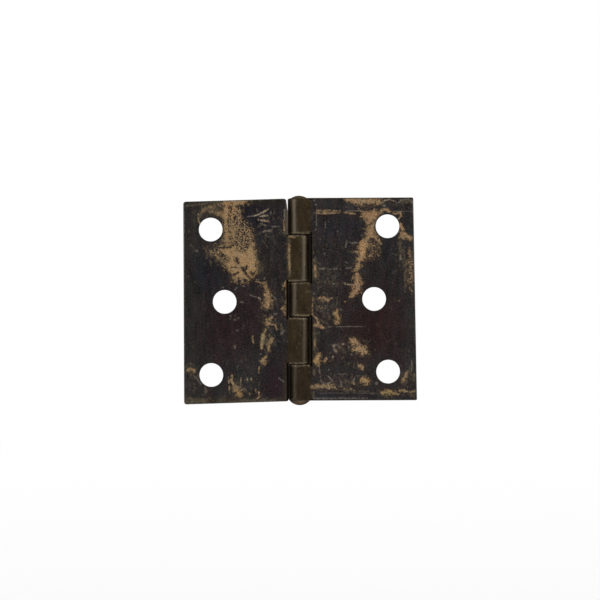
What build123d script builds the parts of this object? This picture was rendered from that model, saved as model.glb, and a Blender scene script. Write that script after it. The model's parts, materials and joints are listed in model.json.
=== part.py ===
# Furniture butt hinge: two stamped sheet leaves, each rolled into knuckles round one riveted pin.
# Millimetres. The pin stands along Z through the origin, at half the height of the leaves.
# The hinge is open flat: the leaves lie in the XZ plane, the frame leaf to +X and the door leaf to -X.
# The backs of the leaves, which lie on the wood, face -Y and are tangent to the barrel.
from math import asin, cos, degrees, radians, sin, tan
import os

from build123d import *

# Driving dimensions
leaf_height = 44.5  # along the pin
leaf_reach = 25.4  # pin axis to a leaf's free edge, at half height
sheet = 1.25  # thickness of the stamped sheet
pin_diameter = 2.4
pin_clearance = 0.05  # radial, pin to rolled knuckle

end_knuckle = 8.0  # frame leaf's first and last knuckles
long_knuckle = 10.4  # both knuckles of the door leaf, set between the frame leaf's three
knuckle_play = 0.16  # axial gap between neighbouring knuckles
over_opening = 85  # degrees past flat before a notch comes up to the back of the other leaf
stop_clearance = 0.05  # notch to that back, fully over-opened
seam_gap = 0.12  # end of the rolled tongue to the leaf that it comes back to

hole_diameter = 5.2
hole_land = 0.35  # straight part of a screw hole, at the back of the leaf
countersink_angle = 90  # full angle, opening on the inner face
outer_hole_spacing = 31.9  # along the pin
outer_hole_inset = 6.0  # free edge to the outer holes
middle_hole_inset = 9.0  # free edge to the middle hole

formed_head_diameter = 4.8  # lower end of the pin
formed_head_height = 1.2
peened_head_diameter = 4.0  # upper end of the pin
peened_head_height = 0.7

door_corner_radius = 0.55
frame_corner_radius = 0.3
edge_break = 0.18  # blunted edge round the back of each leaf and its knuckles

# How far the hand-cropped leaves are out of true
door_skew = 1.5  # degrees that the door leaf's ends fall towards its free edge
door_drop = 0.06  # door leaf's sag on the pin, within the knuckle play
door_ear_setback = 0.42  # how far the door leaf's upper corner stands off the first knuckle
door_ear_length = 3.0  # how far down from that corner its edge runs back in
frame_edge_lean = 0.8  # degrees that the frame leaf's free edge runs out towards its foot

# Sizes that follow
bore_radius = pin_diameter / 2 + pin_clearance
barrel_radius = bore_radius + sheet
middle_knuckle = leaf_height - 2 * (end_knuckle + long_knuckle)
stop_reach = barrel_radius + stop_clearance - bore_radius * cos(radians(over_opening))
root = stop_reach / sin(radians(over_opening))  # pin axis to the foot of each notch
tongue_heel = root + sheet  # a tongue's section runs on into its plate this far
half_height = leaf_height / 2
outer_hole_x = leaf_reach - outer_hole_inset
middle_hole_x = leaf_reach - middle_hole_inset
hole_places = [
    (outer_hole_x, outer_hole_spacing / 2),
    (middle_hole_x, 0),
    (outer_hole_x, -outer_hole_spacing / 2),
]


def knuckle_spans():
    """Lower and upper end of each knuckle, from the top one down, with the play taken off."""
    lengths = [end_knuckle, long_knuckle, middle_knuckle, long_knuckle, end_knuckle]
    spans = []
    top = half_height
    for number, length in enumerate(lengths):
        bottom = top - length
        upper_play = 0 if number == 0 else knuckle_play / 2
        lower_play = 0 if number == len(lengths) - 1 else knuckle_play / 2
        spans.append((bottom + lower_play, top - upper_play))
        top = bottom
    return spans


def rolled_section():
    """Section of a knuckle on a +X leaf: the tongue runs flat to the pin and curls once round it."""
    seam = degrees(asin((bore_radius - seam_gap) / barrel_radius))
    turn = 270 + seam
    outside = CenterArc((0, 0), barrel_radius, 270, -turn)
    inside = CenterArc((0, 0), bore_radius, -seam, turn)
    tongue_end = Line(outside @ 1, inside @ 0)
    heel = (tongue_heel, -bore_radius)
    toe = (tongue_heel, -barrel_radius)
    plate_side = Polyline(inside @ 1, heel, toe, outside @ 0)
    return make_face(Curve() + [outside, tongue_end, inside, plate_side])


def knuckle(low, high):
    """One rolled knuckle with its tongue, between two heights."""
    return Pos(0, 0, low) * extrude(rolled_section(), high - low)


def plate(corners, radii):
    """Flat sheet of a +X leaf, from its corners in X and Z and the rounding of each."""
    blank = make_face(FilletPolyline(*corners, radius=radii, close=True))
    inner_face = Plane(origin=(0, -bore_radius, 0), x_dir=(1, 0, 0), z_dir=(0, -1, 0))
    return extrude(inner_face * blank, sheet)


def screw_hole(x, z):
    """Cutter for a countersunk screw hole through a +X leaf, straight at the back."""
    hole = hole_diameter / 2
    start = -sheet
    end = 2 * sheet
    mouth = hole + (end - hole_land) * tan(radians(countersink_angle / 2))
    profile = Polyline((0, start), (hole, start), (hole, hole_land), (mouth, end), (0, end), close=True)
    cutter = revolve(make_face(profile), Axis.Y)
    return Pos(x, -barrel_radius, z) * cutter


def break_back_edges(leaf):
    """Blunts the sheared edges along the back, and with them the rims of the knuckles."""
    near = edge_break / 100
    straight = leaf.edges().filter_by(GeomType.LINE)
    on_back = [edge for edge in straight if abs(edge.bounding_box().max.Y + barrel_radius) < near]
    past_tangent = [edge for edge in on_back if edge.bounding_box().max.X > near]
    return chamfer(past_tangent, edge_break)


def frame_leaf():
    """The leaf with three knuckles, which holds the pin."""
    lean = tan(radians(frame_edge_lean)) * half_height
    corners = [
        (root, -half_height),
        (leaf_reach + lean, -half_height),
        (leaf_reach - lean, half_height),
        (root, half_height),
    ]
    leaf = plate(corners, [0, frame_corner_radius, frame_corner_radius, 0])
    for low, high in knuckle_spans()[0::2]:
        leaf += knuckle(low, high)
    leaf = break_back_edges(leaf)
    for x, z in hole_places:
        leaf -= screw_hole(x, z)
    return leaf


def door_leaf():
    """The leaf with two knuckles, which turns on the pin. Made at +X and mirrored."""
    fall = tan(radians(door_skew))

    def skewed(x, z):
        return (x, z - fall * x)

    corners = [
        skewed(root, -half_height),
        skewed(leaf_reach, -half_height),
        skewed(leaf_reach, half_height),
        skewed(root + door_ear_setback, half_height),
        (root, half_height - door_ear_length),
    ]
    leaf = plate(corners, [door_corner_radius] * 4 + [0])
    for low, high in knuckle_spans()[1::2]:
        leaf += knuckle(low, high)
    leaf = break_back_edges(leaf)
    for place in hole_places:
        leaf -= screw_hole(*skewed(*place))
    return mirror(Pos(0, 0, -door_drop) * leaf, Plane.YZ)


def hinge_pin():
    """Riveted pin: a domed head formed on its lower end, and a smaller one peened over the upper."""
    shank = pin_diameter / 2
    formed = formed_head_diameter / 2
    peened = peened_head_diameter / 2
    lower_dome = TangentArc(
        (0, -half_height - formed_head_height), (formed, -half_height), tangent=(1, 0)
    )
    upper_dome = TangentArc(
        (0, half_height + peened_head_height), (peened, half_height), tangent=(1, 0)
    )
    side = Polyline(
        (formed, -half_height),
        (shank, -half_height),
        (shank, half_height),
        (peened, half_height),
    )
    axis = Line(upper_dome @ 0, lower_dome @ 0)
    half_section = make_face(Curve() + [lower_dome, side, upper_dome, axis])
    return revolve(Plane.XZ * half_section, Axis.Z)


parts = {
    "frame_leaf": frame_leaf(),
    "door_leaf": door_leaf(),
    "hinge_pin": hinge_pin(),
}

os.makedirs("parts", exist_ok=True)
for name, shape in parts.items():
    shape.label = name
    export_step(shape, f"parts/{name}.step")
    size = shape.bounding_box().size
    print(f"{name}: {shape.volume:.1f} mm3, {size.X:.2f} x {size.Y:.2f} x {size.Z:.2f}")
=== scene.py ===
import json
import math

import bmesh
import bpy
import numpy as np
from mathutils import Matrix, Vector, kdtree, noise


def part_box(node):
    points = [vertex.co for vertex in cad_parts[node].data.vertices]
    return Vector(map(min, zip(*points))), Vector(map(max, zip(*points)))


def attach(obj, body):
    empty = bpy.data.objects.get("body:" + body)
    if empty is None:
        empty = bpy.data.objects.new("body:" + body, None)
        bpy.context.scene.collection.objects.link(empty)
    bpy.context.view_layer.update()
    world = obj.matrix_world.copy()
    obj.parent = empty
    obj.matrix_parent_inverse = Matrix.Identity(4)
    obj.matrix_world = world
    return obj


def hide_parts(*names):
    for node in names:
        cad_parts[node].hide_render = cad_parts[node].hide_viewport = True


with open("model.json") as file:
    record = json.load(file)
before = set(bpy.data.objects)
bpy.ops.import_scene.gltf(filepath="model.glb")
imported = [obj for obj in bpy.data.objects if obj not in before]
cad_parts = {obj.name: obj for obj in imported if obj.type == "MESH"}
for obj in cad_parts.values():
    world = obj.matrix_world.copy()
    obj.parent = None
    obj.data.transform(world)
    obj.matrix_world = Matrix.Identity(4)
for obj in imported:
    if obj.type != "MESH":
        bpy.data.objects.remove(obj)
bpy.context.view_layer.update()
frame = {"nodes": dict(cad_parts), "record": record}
mm = 0.001
barrelRadius = -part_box("frame_leaf")[0].y / mm  # the backs of the leaves are tangent to the barrel
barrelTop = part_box("frame_leaf")[1].z / mm
print("frame loaded:", ", ".join(sorted(frame["nodes"])))

# Where the hinge lies in the 600 pixel picture, which places the camera and the wear
picture = {
    "size": 600,
    "pinColumn": 299.4,  # the pin axis at half height
    "middleRow": 299.3,
    "pixel": 0.2193,  # millimetres to a pixel, on the backs of the leaves
    "turn": 0.00436,  # radians that the hinge is turned by, its foot to the right
    "distance": 270.0,  # millimetres from the camera to the backs
    "sensor": 36.0,
}


def pictureToMm(column, row):
    across = column - picture["pinColumn"]
    down = row - picture["middleRow"]
    x = (across - down * picture["turn"]) * picture["pixel"]
    z = -(down + across * picture["turn"]) * picture["pixel"]
    return x, z


def mmToPicture(x, z):
    right = x / picture["pixel"]
    down = -z / picture["pixel"]
    column = picture["pinColumn"] + right + down * picture["turn"]
    row = picture["middleRow"] + down - right * picture["turn"]
    return column, row


# Colours are written as they look on a screen, 0 to 255
def linear(red, green, blue):
    values = np.array([red, green, blue]) / 255
    low = values / 12.92
    high = ((values + 0.055) / 1.055) ** 2.4
    return tuple(float(v) for v in np.where(values < 0.04045, low, high))


def solid(red, green, blue):
    return (*linear(red, green, blue), 1)


# Node helpers
def addNode(tree, kind, inputs=None, **settings):
    made = tree.nodes.new(kind)
    for name, value in settings.items():
        setattr(made, name, value)
    for key, value in (inputs or {}).items():
        if isinstance(value, bpy.types.NodeSocket):
            tree.links.new(value, made.inputs[key])
        else:
            made.inputs[key].default_value = value
    return made


def doMath(tree, operation, first, second=0.0, third=0.0, clamp=False):
    inputs = {0: first, 1: second, 2: third}
    return addNode(tree, "ShaderNodeMath", inputs, operation=operation, use_clamp=clamp).outputs[0]


def stretched(tree, vector, factors):
    return addNode(tree, "ShaderNodeVectorMath", {0: vector, 1: factors}, operation="MULTIPLY").outputs[0]


def scaled(tree, vector, factor):
    inputs = {0: vector, "Scale": factor}
    return addNode(tree, "ShaderNodeVectorMath", inputs, operation="SCALE").outputs[0]


def ramp(tree, value, low, high, toLow=0.0, toHigh=1.0):
    inputs = {"Value": value, "From Min": low, "From Max": high, "To Min": toLow, "To Max": toHigh}
    return addNode(tree, "ShaderNodeMapRange", inputs, interpolation_type="SMOOTHSTEP").outputs[0]


def mixColour(tree, factor, first, second, blend="MIX"):
    inputs = {0: factor, 6: first, 7: second}
    return addNode(tree, "ShaderNodeMix", inputs, data_type="RGBA", blend_type=blend).outputs[2]


def shaded(tree, colour, level):
    grey = addNode(tree, "ShaderNodeCombineColor", {0: level, 1: level, 2: level}).outputs[0]
    return mixColour(tree, 1.0, colour, grey, "MULTIPLY")


# A layer of one colour over the rest, where its mask shows it
def layer(tree, base, mask, share, colour):
    return mixColour(tree, doMath(tree, "MULTIPLY", mask, share), base, colour)


def addNoise(tree, place, scale, detail=2.0, roughness=0.5, distortion=0.0):
    inputs = {"Vector": place, "Scale": scale, "Detail": detail}
    inputs.update({"Roughness": roughness, "Distortion": distortion})
    return addNode(tree, "ShaderNodeTexNoise", inputs).outputs[0]


# Noise that swings either way from nothing
def swing(tree, place, *settings):
    return doMath(tree, "SUBTRACT", addNoise(tree, place, *settings), 0.5)


def newGroup(name, inputs, outputs):
    tree = bpy.data.node_groups.new(name, "ShaderNodeTree")
    for way, sockets in (("INPUT", inputs), ("OUTPUT", outputs)):
        for label, kind in sockets.items():
            tree.interface.new_socket(label, in_out=way, socket_type="NodeSocket" + kind)
    start = tree.nodes.new("NodeGroupInput")
    end = tree.nodes.new("NodeGroupOutput")
    return tree, start.outputs, end.inputs


def useGroup(tree, group, inputs):
    return addNode(tree, "ShaderNodeGroup", inputs, node_tree=group).outputs


def newMaterial(name):
    material = bpy.data.materials.new(name)
    material.use_nodes = True
    material.node_tree.nodes.clear()
    return material, material.node_tree


def addBump(tree, height, strength, depth):
    inputs = {"Strength": strength, "Distance": depth * mm, "Height": height}
    return addNode(tree, "ShaderNodeBump", inputs).outputs[0]


def addShader(tree, kind, inputs):
    shader = addNode(tree, kind, inputs)
    addNode(tree, "ShaderNodeOutputMaterial", {0: shader.outputs[0]})


def placeInMm(tree):
    return scaled(tree, addNode(tree, "ShaderNodeTexCoord").outputs["Object"], 1 / mm)


def readValue(tree, name):
    return addNode(tree, "ShaderNodeAttribute", attribute_name=name).outputs["Fac"]


def readColour(tree, name):
    return addNode(tree, "ShaderNodeAttribute", attribute_name=name).outputs["Color"]


wornEdge = {
    "coarse": (1.5, 4, 0.65, 0.4),  # noise: cells to a millimetre, detail, roughness, distortion
    "fine": (4.6, 4, 0.7),
    "deep": 1.4,  # how far inside a worn place is at its palest
}


# Ragged edge of a worn place, from how far inside it a point is: 0 at its edge, 1 at its middle
def raggedGroup():
    settings = {label: "Float" for label in ("Inside", "Ragged", "Grain", "Blur", "Halo")}
    masks = {label: "Float" for label in ("Mask", "Fringe", "Depth")}
    tree, given, out = newGroup("raggedWear", {"Place": "Vector", **settings}, masks)
    coarse = swing(tree, given["Place"], *wornEdge["coarse"])
    fine = swing(tree, given["Place"], *wornEdge["fine"])
    edge = doMath(tree, "MULTIPLY_ADD", coarse, given["Ragged"], given["Inside"])
    edge = doMath(tree, "MULTIPLY_ADD", fine, given["Grain"], edge)
    under = doMath(tree, "MULTIPLY", given["Blur"], -1)
    outside = doMath(tree, "MULTIPLY", given["Halo"], -1)
    tree.links.new(ramp(tree, edge, under, given["Blur"]), out["Mask"])
    tree.links.new(ramp(tree, edge, outside, given["Blur"]), out["Fringe"])
    tree.links.new(ramp(tree, edge, 0.0, wornEdge["deep"]), out["Depth"])
    return tree


agedPatina = {
    "drawn": (1.5, 1.0, 0.5),  # the clouds run along the pin
    "broad": (0.5, 4, 0.6),
    "close": (3.2, 4, 0.7),
    "grain": (11.0, 2, 0.6),
    "drift": (0.7, 4, 0.6),
    "closeShare": 1.6,  # of the close clouds, beside the broad ones
    "cool": (0.8, 1.06, 1.04, 1),
    "warm": (1.2, 0.94, 0.96, 1),
    "glossSpread": 0.35,
    "grainRelief": 0.35,
}


# Cloudy dark patina round a given tone, with its gloss and its fine relief
def patinaGroup():
    settings = {"Tone": "Color", "Place": "Vector", "Cloud": "Float", "Hue": "Float", "Gloss": "Float"}
    surface = {"Color": "Color", "Roughness": "Float", "Relief": "Float"}
    tree, given, out = newGroup("agedPatina", settings, surface)
    drawn = stretched(tree, given["Place"], agedPatina["drawn"])
    broad = addNoise(tree, drawn, *agedPatina["broad"])
    close = addNoise(tree, given["Place"], *agedPatina["close"])
    grain = addNoise(tree, given["Place"], *agedPatina["grain"])
    closeShare = agedPatina["closeShare"]
    lift = doMath(tree, "MULTIPLY_ADD", close, closeShare, broad)
    lift = doMath(tree, "SUBTRACT", lift, (closeShare + 1) / 2)
    lift = doMath(tree, "MULTIPLY_ADD", lift, doMath(tree, "MULTIPLY", given["Cloud"], 2.0), 1.0)
    drift = swing(tree, drawn, *agedPatina["drift"])
    drift = doMath(tree, "MULTIPLY_ADD", drift, given["Hue"], 0.5, clamp=True)
    tint = mixColour(tree, drift, agedPatina["cool"], agedPatina["warm"])
    toned = shaded(tree, given["Tone"], lift)
    tree.links.new(mixColour(tree, 1.0, toned, tint, "MULTIPLY"), out["Color"])
    rough = doMath(tree, "SUBTRACT", close, 0.5)
    rough = doMath(tree, "MULTIPLY_ADD", rough, agedPatina["glossSpread"], given["Gloss"])
    tree.links.new(rough, out["Roughness"])
    tree.links.new(doMath(tree, "MULTIPLY_ADD", grain, agedPatina["grainRelief"], close), out["Relief"])
    return tree


ragged = raggedGroup()
patina = patinaGroup()
print("shader groups made")

leafFinish = {
    "patinaGloss": 0.30,
    "barrelGloss": 0.34,
    "barrelBlend": 0.5,  # millimetres past the barrel over which its finish runs out
    "specular": 0.38,
    "highlight": (1.0, 0.92, 0.8, 1),
    "cloud": 1.1,
    "hue": 3.0,  # drift between blue-black and maroon
    "bareRoughness": 0.55,
    "bareMetal": 0.3,
    "barrelMetal": 0.25,
    "brown": solid(46, 36, 26),  # thinned patina round the bare places
    "brownShare": 0.6,
    "olive": solid(84, 75, 60),  # patina worn thin
    "scratch": solid(132, 124, 114),
    "scratchShare": 0.38,
    # painted shade in the slots beside the barrel: dark, dull and without sheen
    "slotShade": solid(24, 17, 8),
    "slotShadeShare": 0.95,
    "slotShadeRoughness": 0.95,
    "bareEdge": {"Ragged": 4.4, "Grain": 5.4, "Blur": 0.2, "Halo": 1.3},
    "thinEdge": {"Ragged": 4.0, "Grain": 5.5, "Blur": 0.4, "Halo": 1.0},
    "scratchEdge": {"Ragged": 3.0, "Grain": 4.5, "Blur": 0.5, "Halo": 1.0},
    "bump": (0.25, 0.03),  # strength, and depth in millimetres
}

# Worm tracks of patina that are left on the bare metal
tracks = {
    "noise": (1.3, 1.5, 0.5, 1.6),
    "width": (0.085, 0.045),  # from the edge of a track to its middle, in noise
    "depth": 3.2,  # how far outside the bare place a track counts
    "rise": 2,  # how fast the tracks come in from the edge of their strokes
}

# Flecks where the patina has lifted, drawn out along the pin
flecking = {
    "drawn": (1.15, 1.0, 0.85),
    "noise": (1.5, 5, 0.68),
    "start": 0.60,  # noise above which a fleck shows, where none are asked for
    "fall": -0.14,  # and how far that comes down where they are
    "soft": 0.07,
    "through": (0.12, 0.18),  # past the start, where a fleck goes down to the metal
    "share": 0.45,
    "throughShare": 0.75,
    "thinned": (0.34, 0.62, 0.25, 0.85),  # thin patina is broken up by the same noise
}

# Bare brass, dulled, with pits
brass = {
    "shade": (2.4, 4, 0.7),
    "shading": (0.28, 0.72, 0.6, 1.55),
    "paler": (0.8, 1.3),  # from the edge of a bare place to its middle
    "greyed": solid(122, 108, 86),
    "greyNoise": (0.9, 4, 0.65),
    "greying": (0.5, 0.64, 0.0, 0.65),
    "pits": solid(44, 36, 28),
    "pitNoise": (3.6, 4, 0.7),
    "pitting": (0.55, 0.64),
    "pitShare": 0.75,
    "relief": -0.5,
    "scratchRelief": -0.4,
}


def leafMaterial():
    material, tree = newMaterial("leafPatina")
    place = placeInMm(tree)

    def worn(inside, edge):
        return useGroup(tree, ragged, {"Inside": inside, "Place": place, **leafFinish[edge]})

    x = addNode(tree, "ShaderNodeSeparateXYZ", {0: place}).outputs[0]
    barrelEnd = barrelRadius + leafFinish["barrelBlend"]
    onBarrel = ramp(tree, doMath(tree, "ABSOLUTE", x), barrelEnd, barrelRadius)
    gloss = leafFinish["patinaGloss"]
    hue = leafFinish["hue"]
    dark = useGroup(
        tree,
        patina,
        {
            "Tone": readColour(tree, "tone"),
            "Place": place,
            "Cloud": leafFinish["cloud"],
            "Hue": doMath(tree, "MULTIPLY_ADD", onBarrel, -hue, hue),
            "Gloss": doMath(tree, "MULTIPLY_ADD", onBarrel, leafFinish["barrelGloss"] - gloss, gloss),
        },
    )
    track = doMath(tree, "ABSOLUTE", swing(tree, place, *tracks["noise"]))
    tracked = doMath(tree, "MULTIPLY", ramp(tree, track, *tracks["width"]), readValue(tree, "worm"))
    bare = worn(doMath(tree, "MULTIPLY_ADD", tracked, -tracks["depth"], readValue(tree, "bare")), "bareEdge")
    thin = worn(readValue(tree, "thin"), "thinEdge")
    line = worn(readValue(tree, "scratch"), "scratchEdge")

    fleck = addNoise(tree, stretched(tree, place, flecking["drawn"]), *flecking["noise"])
    fleckAt = doMath(tree, "MULTIPLY_ADD", readValue(tree, "flecked"), flecking["fall"], flecking["start"])
    flecks = ramp(tree, fleck, fleckAt, doMath(tree, "ADD", fleckAt, flecking["soft"]))
    through = ramp(tree, fleck, *[doMath(tree, "ADD", fleckAt, past) for past in flecking["through"]])
    through = doMath(tree, "MULTIPLY", through, flecking["throughShare"])
    broken = ramp(tree, fleck, *flecking["thinned"])

    bareShade = ramp(tree, addNoise(tree, place, *brass["shade"]), *brass["shading"])
    bareShade = doMath(tree, "MULTIPLY", bareShade, ramp(tree, bare["Depth"], 0, 1, *brass["paler"]))
    greyed = ramp(tree, addNoise(tree, place, *brass["greyNoise"]), *brass["greying"])
    metal = mixColour(tree, greyed, readColour(tree, "bareTone"), brass["greyed"])
    metal = shaded(tree, metal, bareShade)
    pits = ramp(tree, addNoise(tree, place, *brass["pitNoise"]), *brass["pitting"])
    metal = layer(tree, metal, pits, brass["pitShare"], brass["pits"])

    # painted shade in the slots beside the barrel
    slotShade = readValue(tree, "slotShade")
    base = layer(tree, dark["Color"], bare["Fringe"], leafFinish["brownShare"], leafFinish["brown"])
    base = layer(tree, base, thin["Mask"], broken, leafFinish["olive"])
    base = layer(tree, base, flecks, flecking["share"], leafFinish["olive"])
    base = mixColour(tree, doMath(tree, "MAXIMUM", bare["Mask"], through), base, metal)
    base = layer(tree, base, line["Mask"], leafFinish["scratchShare"], leafFinish["scratch"])
    base = layer(tree, base, slotShade, leafFinish["slotShadeShare"], leafFinish["slotShade"])
    roughness = doMath(tree, "SUBTRACT", leafFinish["bareRoughness"], dark["Roughness"])
    roughness = doMath(tree, "MULTIPLY_ADD", roughness, bare["Mask"], dark["Roughness"])
    dulled = doMath(tree, "SUBTRACT", leafFinish["slotShadeRoughness"], roughness)
    roughness = doMath(tree, "MULTIPLY_ADD", dulled, slotShade, roughness)
    bareMetal, barrelMetal = leafFinish["bareMetal"], leafFinish["barrelMetal"]
    metallic = doMath(tree, "MULTIPLY", onBarrel, barrelMetal)
    metallic = doMath(tree, "MULTIPLY_ADD", bare["Mask"], bareMetal - barrelMetal, metallic)
    metallic = doMath(tree, "MAXIMUM", metallic, doMath(tree, "MULTIPLY", bare["Mask"], bareMetal))
    metallic = doMath(tree, "MAXIMUM", metallic, slotShade)  # takes the white sheen off the painted slot shade
    relief = doMath(tree, "MULTIPLY_ADD", bare["Mask"], brass["relief"], dark["Relief"])
    relief = doMath(tree, "MULTIPLY_ADD", line["Mask"], brass["scratchRelief"], relief)
    surface = {
        "Base Color": base,
        "Roughness": roughness,
        "Metallic": metallic,
        "Specular IOR Level": leafFinish["specular"],
        "Specular Tint": leafFinish["highlight"],
        "Normal": addBump(tree, relief, *leafFinish["bump"]),
    }
    addShader(tree, "ShaderNodeBsdfPrincipled", surface)
    return material


# The patina of one tone that the pin and the rings of grime and painted shade have
def patinaOf(tree, finish, place):
    inputs = {"Place": place}
    for label in ("Tone", "Cloud", "Hue", "Gloss"):
        inputs[label] = finish[label.lower()]
    return useGroup(tree, patina, inputs)


pinFinish = {
    "tone": solid(58, 46, 31),
    "rubbed": solid(92, 74, 49),
    "rubbedShare": 0.8,
    "rubbedEdge": {"Ragged": 1.6, "Grain": 1.6, "Blur": 0.3, "Halo": 1.0},
    "gloss": 0.4,
    "specular": 0.3,
    "cloud": 0.6,
    "hue": 0.6,
    "metal": 0.35,
    "bump": (0.3, 0.03),
}


def pinMaterial():
    material, tree = newMaterial("pinPatina")
    place = placeInMm(tree)
    dark = patinaOf(tree, pinFinish, place)
    rubbed = {"Inside": readValue(tree, "rubbed"), "Place": place, **pinFinish["rubbedEdge"]}
    rub = useGroup(tree, ragged, rubbed)
    surface = {
        "Base Color": layer(tree, dark["Color"], rub["Mask"], pinFinish["rubbedShare"], pinFinish["rubbed"]),
        "Roughness": dark["Roughness"],
        "Metallic": doMath(tree, "MULTIPLY", rub["Mask"], pinFinish["metal"]),
        "Specular IOR Level": pinFinish["specular"],
        "Normal": addBump(tree, dark["Relief"], *pinFinish["bump"]),
    }
    addShader(tree, "ShaderNodeBsdfPrincipled", surface)
    return material


# Finished meshes: copies of the frame's nodes, with cells fine enough to carry the wear
cells = {
    "back": 0.2,  # millimetres, cells on the backs of the leaves
    "barrel": 0.3,
    "inner": 0.45,
    "merge": 0.0005,  # points nearer than this are one
    "flat": 0.999,  # least share of a normal along Y, on the back and the inner side
    "upright": 0.1,  # most share of a normal along Z, on the barrel
    "onBarrel": 0.01,  # millimetres that a point of the barrel may be off it
    "sharp": 30,  # degrees between faces that stay crisp
}


def mergedCopy(node):
    bm = bmesh.new()
    bm.from_mesh(frame["nodes"][node].data)
    bmesh.ops.remove_doubles(bm, verts=bm.verts, dist=cells["merge"] * mm)
    bm.normal_update()
    return bm


# Parallel cuts from the low end up: only what lies above the last cut is cut again
def cutAcross(bm, faces, axis, step):
    heights = [vert.co[axis] for face in faces for vert in face.verts]
    normal = Vector((0, 0, 0))
    normal[axis] = 1
    above = list(faces)
    for height in np.arange(min(heights) + step, max(heights) - step / 2, step):
        parts = set(above)
        for face in above:
            parts.update(face.edges)
            parts.update(face.verts)
        cut = bmesh.ops.bisect_plane(
            bm, geom=list(parts), dist=1e-8, plane_co=normal * height, plane_no=normal
        )
        found = [part for part in cut["geom"] if isinstance(part, bmesh.types.BMFace)]
        above = [face for face in found if face.calc_center_median()[axis] > height]


def isBack(face):
    return face.normal.y < -cells["flat"]


def isInner(face):
    return face.normal.y > cells["flat"] and face.calc_center_median().y < 0


def isBarrel(face):
    radii = [math.hypot(vert.co.x, vert.co.y) / mm for vert in face.verts]
    off = max(abs(radius - barrelRadius) for radius in radii)
    return abs(face.normal.z) < cells["upright"] and off < cells["onBarrel"]


def cellFaces(bm, wanted, axes, step):
    for axis in axes:
        cutAcross(bm, [face for face in bm.faces if wanted(face)], axis, step * mm)


def convexEdgeDistance(bm):
    sharp = math.radians(cells["sharp"])
    rim = set()
    for edge in bm.edges:
        if len(edge.link_faces) == 2 and edge.calc_face_angle_signed(0) > sharp:
            rim.update(edge.verts)
    tree = kdtree.KDTree(len(rim))
    for number, vert in enumerate(rim):
        tree.insert(vert.co, number)
    tree.balance()
    return np.array([tree.find(vert.co)[2] for vert in bm.verts]) / mm


farOutside = -9.0  # where no stroke is near
softBorder = 3.4  # pixels from an outline in to where it counts as the middle of a stroke


# Distance from a straight piece of a path, and how far along the piece, 0 to 1
def fromSegment(columns, rows, start, end):
    alongC, alongR = end[0] - start[0], end[1] - start[1]
    span = max(alongC**2 + alongR**2, 1e-9)
    t = np.clip(((columns - start[0]) * alongC + (rows - start[1]) * alongR) / span, 0, 1)
    return np.hypot(columns - start[0] - t * alongC, rows - start[1] - t * alongR), t


# How far inside a set of strokes each point is, in half widths; a stroke is a path of (column, row, width)
def insideStrokes(columns, rows, strokes):
    inside = np.full(len(columns), farOutside)
    for stroke in strokes:
        for start, end in zip(stroke, stroke[1:] or stroke):
            away, t = fromSegment(columns, rows, start, end)
            half = (start[2] + (end[2] - start[2]) * t) / 2
            inside = np.maximum(inside, (half - away) / half)
    return inside


# How far inside a closed outline each point is, in shares of its soft border
def insideOutline(columns, rows, outline):
    near = np.full(len(columns), 1e9)
    within = np.zeros(len(columns), bool)
    for start, end in zip(outline, outline[1:] + outline[:1]):
        near = np.minimum(near, fromSegment(columns, rows, start, end)[0])
        if start[1] != end[1]:
            crosses = (start[1] > rows) != (end[1] > rows)
            reach = (rows - start[1]) * (end[0] - start[0]) / (end[1] - start[1])
            within ^= crosses & (columns < start[0] + reach)
    return np.clip(np.where(within, near, -near) / softBorder, farOutside, wornEdge["deep"])


# Soft round share of a place, from its middle and its reach
def softSpot(columns, rows, column, row, across, down, strength):
    away = ((columns - column) / across) ** 2 + ((rows - row) / down) ** 2
    return strength * np.exp(-away)


# Broad washes of colour over a ground
def washed(columns, rows, ground, washes):
    colour = np.tile(np.array(linear(*ground)), (len(columns), 1))
    for column, row, across, down, tint, strength in washes:
        share = softSpot(columns, rows, column, row, across, down, strength)[:, None]
        colour = colour * (1 - share) + np.array(linear(*tint)) * share
    return colour


def storeValue(mesh, name, values):
    mesh.attributes.new(name, "FLOAT", "POINT").data.foreach_set("value", values.astype(np.float32))


def storeColour(mesh, name, colours):
    full = np.ones((len(colours), 4), np.float32)
    full[:, :3] = colours
    mesh.attributes.new(name, "FLOAT_COLOR", "POINT").data.foreach_set("color", full.ravel())


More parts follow.
